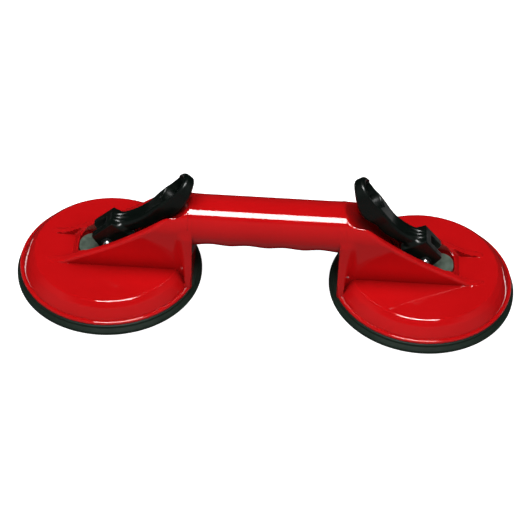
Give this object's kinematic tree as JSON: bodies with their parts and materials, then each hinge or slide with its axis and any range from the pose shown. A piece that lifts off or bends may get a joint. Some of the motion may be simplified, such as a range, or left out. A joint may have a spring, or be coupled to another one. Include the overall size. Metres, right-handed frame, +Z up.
{
  "type": "vacuum suction lifter",
  "caption": "Twin-cup suction lifter: dished cast cups joined by a round hand grip, each with a rubber pad pulled up by a folding cam lever.",
  "frame": {"origin": "midway between the two cup centres, on the plane the pads seal against", "axes": "+X along the grip from the folded lever's cup to the raised lever's cup, +Z up out of the sealing plane, Y across the grip"},
  "size_m": [0.32, 0.119, 0.0888],
  "materials": {
    "casting_red": "gloss red enamel on cast aluminium",
    "pad_rubber": "moulded, satin, slightly greenish black",
    "lever_black": "gloss, moulded",
    "zinc_plate": "dull zinc plating",
    "plain_steel": "machined, bright",
    "blackened_steel": "phosphated spring steel, dull black",
    "spring_steel": "drawn wire"
  },
  "bodies": {
    "lifter_frame": {"handle_casting": "casting_red", "left_suction_pad": "pad_rubber", "left_return_spring": "spring_steel", "left_spring_washer": "zinc_plate", "left_bearing_plate": "zinc_plate", "right_suction_pad": "pad_rubber", "right_return_spring": "spring_steel", "right_spring_washer": "zinc_plate", "right_bearing_plate": "zinc_plate"},
    "left_stud": {"left_pad_insert": "plain_steel", "left_pull_stud": "plain_steel", "left_lock_nut": "plain_steel", "left_lever_pin": "plain_steel", "left_pin_clips": "blackened_steel"},
    "left_lever": {"left_cam_lever": "lever_black"},
    "right_stud": {"right_pad_insert": "plain_steel", "right_pull_stud": "plain_steel", "right_lock_nut": "plain_steel", "right_lever_pin": "plain_steel", "right_pin_clips": "blackened_steel"},
    "right_lever": {"right_cam_lever": "lever_black"}
  },
  "joints": [
    {"name": "left_stud_slide", "type": "slide", "parent": "lifter_frame", "child": "left_stud", "axis": [0, 0, 1], "range_m": [-0.0029, 0], "deforming": ["left_return_spring"]},
    {"name": "left_lever_swing", "type": "hinge", "parent": "left_stud", "child": "left_lever", "pos_m": [-0.1005, 0, 0.0308], "axis": [0, -1, 0], "range_deg": [0, 60]},
    {"name": "right_stud_slide", "type": "slide", "parent": "lifter_frame", "child": "right_stud", "axis": [0, 0, 1], "range_m": [-0.00257, 0.00034], "deforming": ["right_return_spring"]},
    {"name": "right_lever_swing", "type": "hinge", "parent": "right_stud", "child": "right_lever", "pos_m": [0.1005, 0, 0.03046], "axis": [0, 1, 0], "range_deg": [-7, 53]}
  ],
  "couplings": [
    {"joint": "left_stud_slide", "follows": "left_lever_swing", "m_per_rad": -0.0027693},
    {"joint": "right_stud_slide", "follows": "right_lever_swing", "m_per_rad": -0.0027693}
  ]
}
